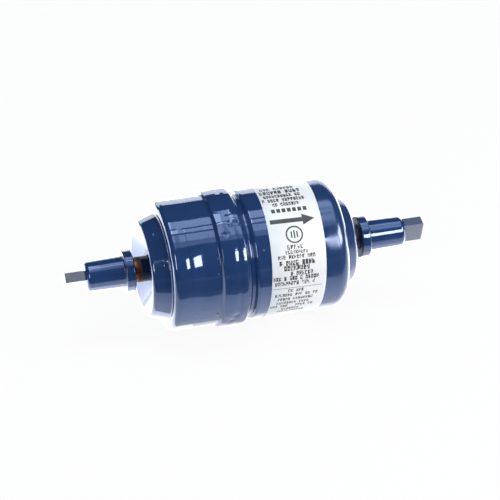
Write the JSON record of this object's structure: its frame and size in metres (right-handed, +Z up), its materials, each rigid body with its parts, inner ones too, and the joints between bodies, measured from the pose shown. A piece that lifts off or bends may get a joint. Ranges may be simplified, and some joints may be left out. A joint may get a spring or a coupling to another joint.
{
  "type": "filter drier",
  "caption": "Brazed-in liquid-line filter drier: a round two-part steel body with a girth weld, solder stubs at both ends and push-on dust caps.",
  "frame": {"origin": "on the flow axis, half way between the tips of the two caps' tabs", "axes": "+X is the flow and the axis of the body, from the inlet to the outlet; +Z is up"},
  "size_m": [0.1286, 0.0483, 0.0484],
  "materials": {
    "shell_enamel": "gloss",
    "copper": "satin",
    "braze_alloy": "satin",
    "cap_plastic": "gloss",
    "label_film": "satin",
    "plated_steel": "satin",
    "spring_steel": "satin",
    "screen_mesh": "matte",
    "felt": "matte",
    "desiccant": "matte",
    "glass_fibre": "matte"
  },
  "bodies": {
    "drier": {"inlet_shell": "shell_enamel", "outlet_shell": "shell_enamel", "girth_weld": "shell_enamel", "inlet_collar": "shell_enamel", "outlet_collar": "shell_enamel", "inlet_stub": "copper", "outlet_stub": "copper", "inlet_braze": "braze_alloy", "outlet_braze": "braze_alloy", "label": "label_film", "inlet_diffuser": "plated_steel", "core_spring": "spring_steel", "pressure_plate": "plated_steel", "inlet_screen": "screen_mesh", "inlet_pad": "felt", "desiccant_bed": "desiccant", "outlet_pad": "glass_fibre", "outlet_screen": "screen_mesh", "support_plate": "plated_steel"},
    "inlet_cap": {"inlet_cap": "cap_plastic"},
    "outlet_cap": {"outlet_cap": "cap_plastic"}
  },
  "joints": [
    {"name": "inlet_cap_slide", "type": "slide", "parent": "drier", "child": "inlet_cap", "axis": [-1, 0, 0], "range_m": [0, 0.045]},
    {"name": "outlet_cap_slide", "type": "slide", "parent": "drier", "child": "outlet_cap", "axis": [1, 0, 0], "range_m": [0, 0.045]}
  ]
}
